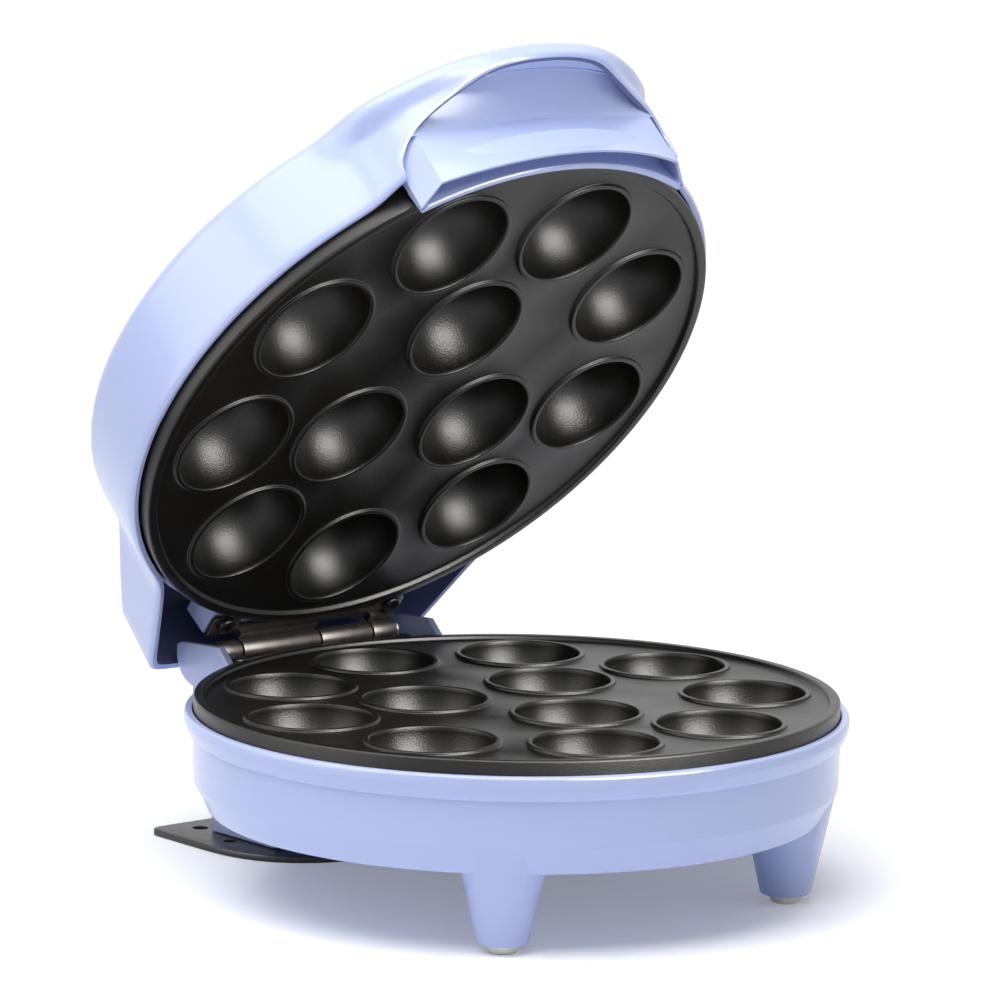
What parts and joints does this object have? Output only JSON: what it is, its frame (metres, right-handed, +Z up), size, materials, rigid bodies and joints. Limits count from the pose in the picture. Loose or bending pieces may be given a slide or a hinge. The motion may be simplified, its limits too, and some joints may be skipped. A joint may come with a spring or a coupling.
{
  "type": "cake pop maker",
  "caption": "Round table-top electric maker of cake balls with half-ball cavities in two cast plates, a hinged domed lid held open, a front grip and a rear foot plate.",
  "frame": {"origin": "on the floor under the middle of the object as it stands with its lid open", "axes": "+X to the right of someone at the handle, +Y to the hinge at the back, +Z up"},
  "size_m": [0.2048, 0.2408, 0.2612],
  "materials": {
    "shell": "gloss lavender moulding",
    "plate_coating": "satin dark non-stick coating on cast aluminium",
    "steel": "bright",
    "dark_steel": "dark, satin",
    "black_plastic": "semi-gloss",
    "pad_rubber": "matt",
    "ceramic": "matt",
    "red_lens": "clear gloss",
    "green_lens": "clear gloss"
  },
  "bodies": {
    "base": {"base_housing": "shell", "lower_plate": "plate_coating", "lower_heating_element": "steel", "lower_heat_shield": "steel", "lower_thermostat": "steel", "rear_foot_plate": "black_plastic", "cord_gland": "black_plastic", "terminal_block": "ceramic", "thermal_fuse": "steel", "thermal_fuse_clip": "steel", "base_screw_1": "steel", "base_screw_2": "steel", "base_screw_3": "steel", "front_left_pad": "pad_rubber", "foot_plate_screw_left": "steel", "lower_hinge_screw_left": "dark_steel", "front_right_pad": "pad_rubber", "foot_plate_screw_right": "steel", "lower_hinge_screw_right": "dark_steel", "lower_hinge_leaf": "dark_steel", "hinge_pin": "steel"},
    "lid": {"lid_shell": "shell", "front_handle": "shell", "upper_plate": "plate_coating", "upper_heating_element": "steel", "upper_heat_shield": "steel", "upper_thermostat": "steel", "upper_plate_screw_1": "steel", "upper_plate_screw_2": "steel", "upper_plate_screw_3": "steel", "upper_hinge_leaf": "dark_steel", "upper_hinge_screw_left": "dark_steel", "upper_hinge_screw_right": "dark_steel", "power_lamp_lens": "red_lens", "power_lamp": "ceramic", "ready_lamp_lens": "green_lens", "ready_lamp": "ceramic"}
  },
  "joints": [
    {"name": "lid_hinge", "type": "hinge", "parent": "base", "child": "lid", "pos_m": [0, 0.08908, 0.0605], "axis": [1, 0, 0], "range_deg": [-45, 52.9]}
  ]
}
